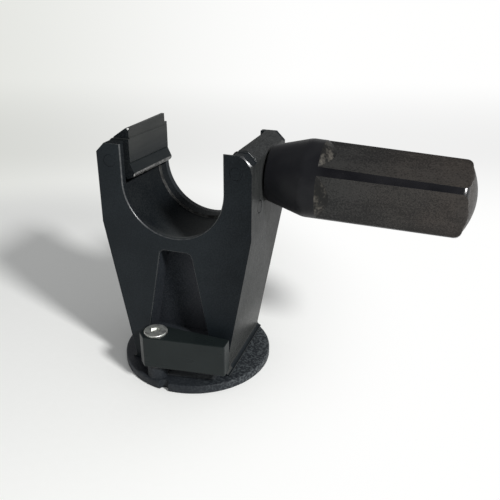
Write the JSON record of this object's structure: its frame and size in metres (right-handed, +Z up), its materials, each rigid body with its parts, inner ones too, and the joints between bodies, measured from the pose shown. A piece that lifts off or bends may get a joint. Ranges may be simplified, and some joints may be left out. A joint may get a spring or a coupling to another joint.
{
  "type": "spool hub cradle stand",
  "caption": "Bench stand with a round foot and a U cradle for a spool hub, a sprung snap clip in one arm, a screw clamp turned by a long side grip, and a small lock lever in front.",
  "frame": {"origin": "centre of the round foot's underside", "axes": "+X from the cradle to the end of the side grip, +Y from the lever's side to the rear, +Z up"},
  "size_m": [0.1518, 0.0704, 0.1118],
  "materials": {
    "textured_black": "fine textured moulding",
    "gloss_black": "glossy",
    "grip_black": "satin, worn on the flats",
    "coated_steel": "coarse powder coat",
    "bright_steel": "bright",
    "brass": "turned",
    "rubber": "matte"
  },
  "bodies": {
    "stand": {"base_flange": "coated_steel", "base_screw_1": "bright_steel", "base_screw_2": "bright_steel", "base_screw_3": "bright_steel", "base_screw_4": "bright_steel", "cheek_screw_1": "bright_steel", "cheek_screw_2": "bright_steel", "cheek_screw_3": "bright_steel", "cheek_screw_4": "bright_steel", "clamp_bush": "brass", "clip_pin": "bright_steel", "clip_spring": "bright_steel", "core_frame": "textured_black", "front_cheek": "textured_black", "front_plug": "textured_black", "lever_screw": "bright_steel", "lever_sleeve": "brass", "lever_washer": "bright_steel", "rear_cheek": "textured_black", "rear_plug": "textured_black", "side_plug": "textured_black"},
    "clip": {"rocker_clip": "gloss_black"},
    "pad": {"clamp_pad": "bright_steel", "pad_facing": "rubber"},
    "grip": {"side_grip": "grip_black", "grip_insert": "brass", "clamp_stud": "bright_steel", "stud_retainer": "bright_steel"},
    "lever": {"lock_lever": "gloss_black"}
  },
  "joints": [
    {"name": "clip_hinge", "type": "hinge", "parent": "stand", "child": "clip", "pos_m": [-0.02815, 0.0035, 0.0997], "axis": [0, 1, 0], "range_deg": [0, 10], "stiffness_Nm_per_rad": 0.08, "springref_deg": -5.73, "deforming": ["clip_spring"]},
    {"name": "clamp_slide", "type": "slide", "parent": "stand", "child": "pad", "axis": [0.9995, 0, -0.0314], "range_m": [0, 0.003]},
    {"name": "grip_turn", "type": "hinge", "parent": "pad", "child": "grip", "pos_m": [0.034, 0.0029, 0.09435], "axis": [0.9995, 0, -0.0314], "range_deg": [0, 1080]},
    {"name": "lever_swing", "type": "hinge", "parent": "stand", "child": "lever", "pos_m": [-0.0074, -0.029, 0.0113], "axis": [0, 0, 1], "range_deg": [-95, 0]}
  ],
  "couplings": [
    {"joint": "clamp_slide", "follows": "grip_turn", "m_per_rad": 0.00015915}
  ]
}
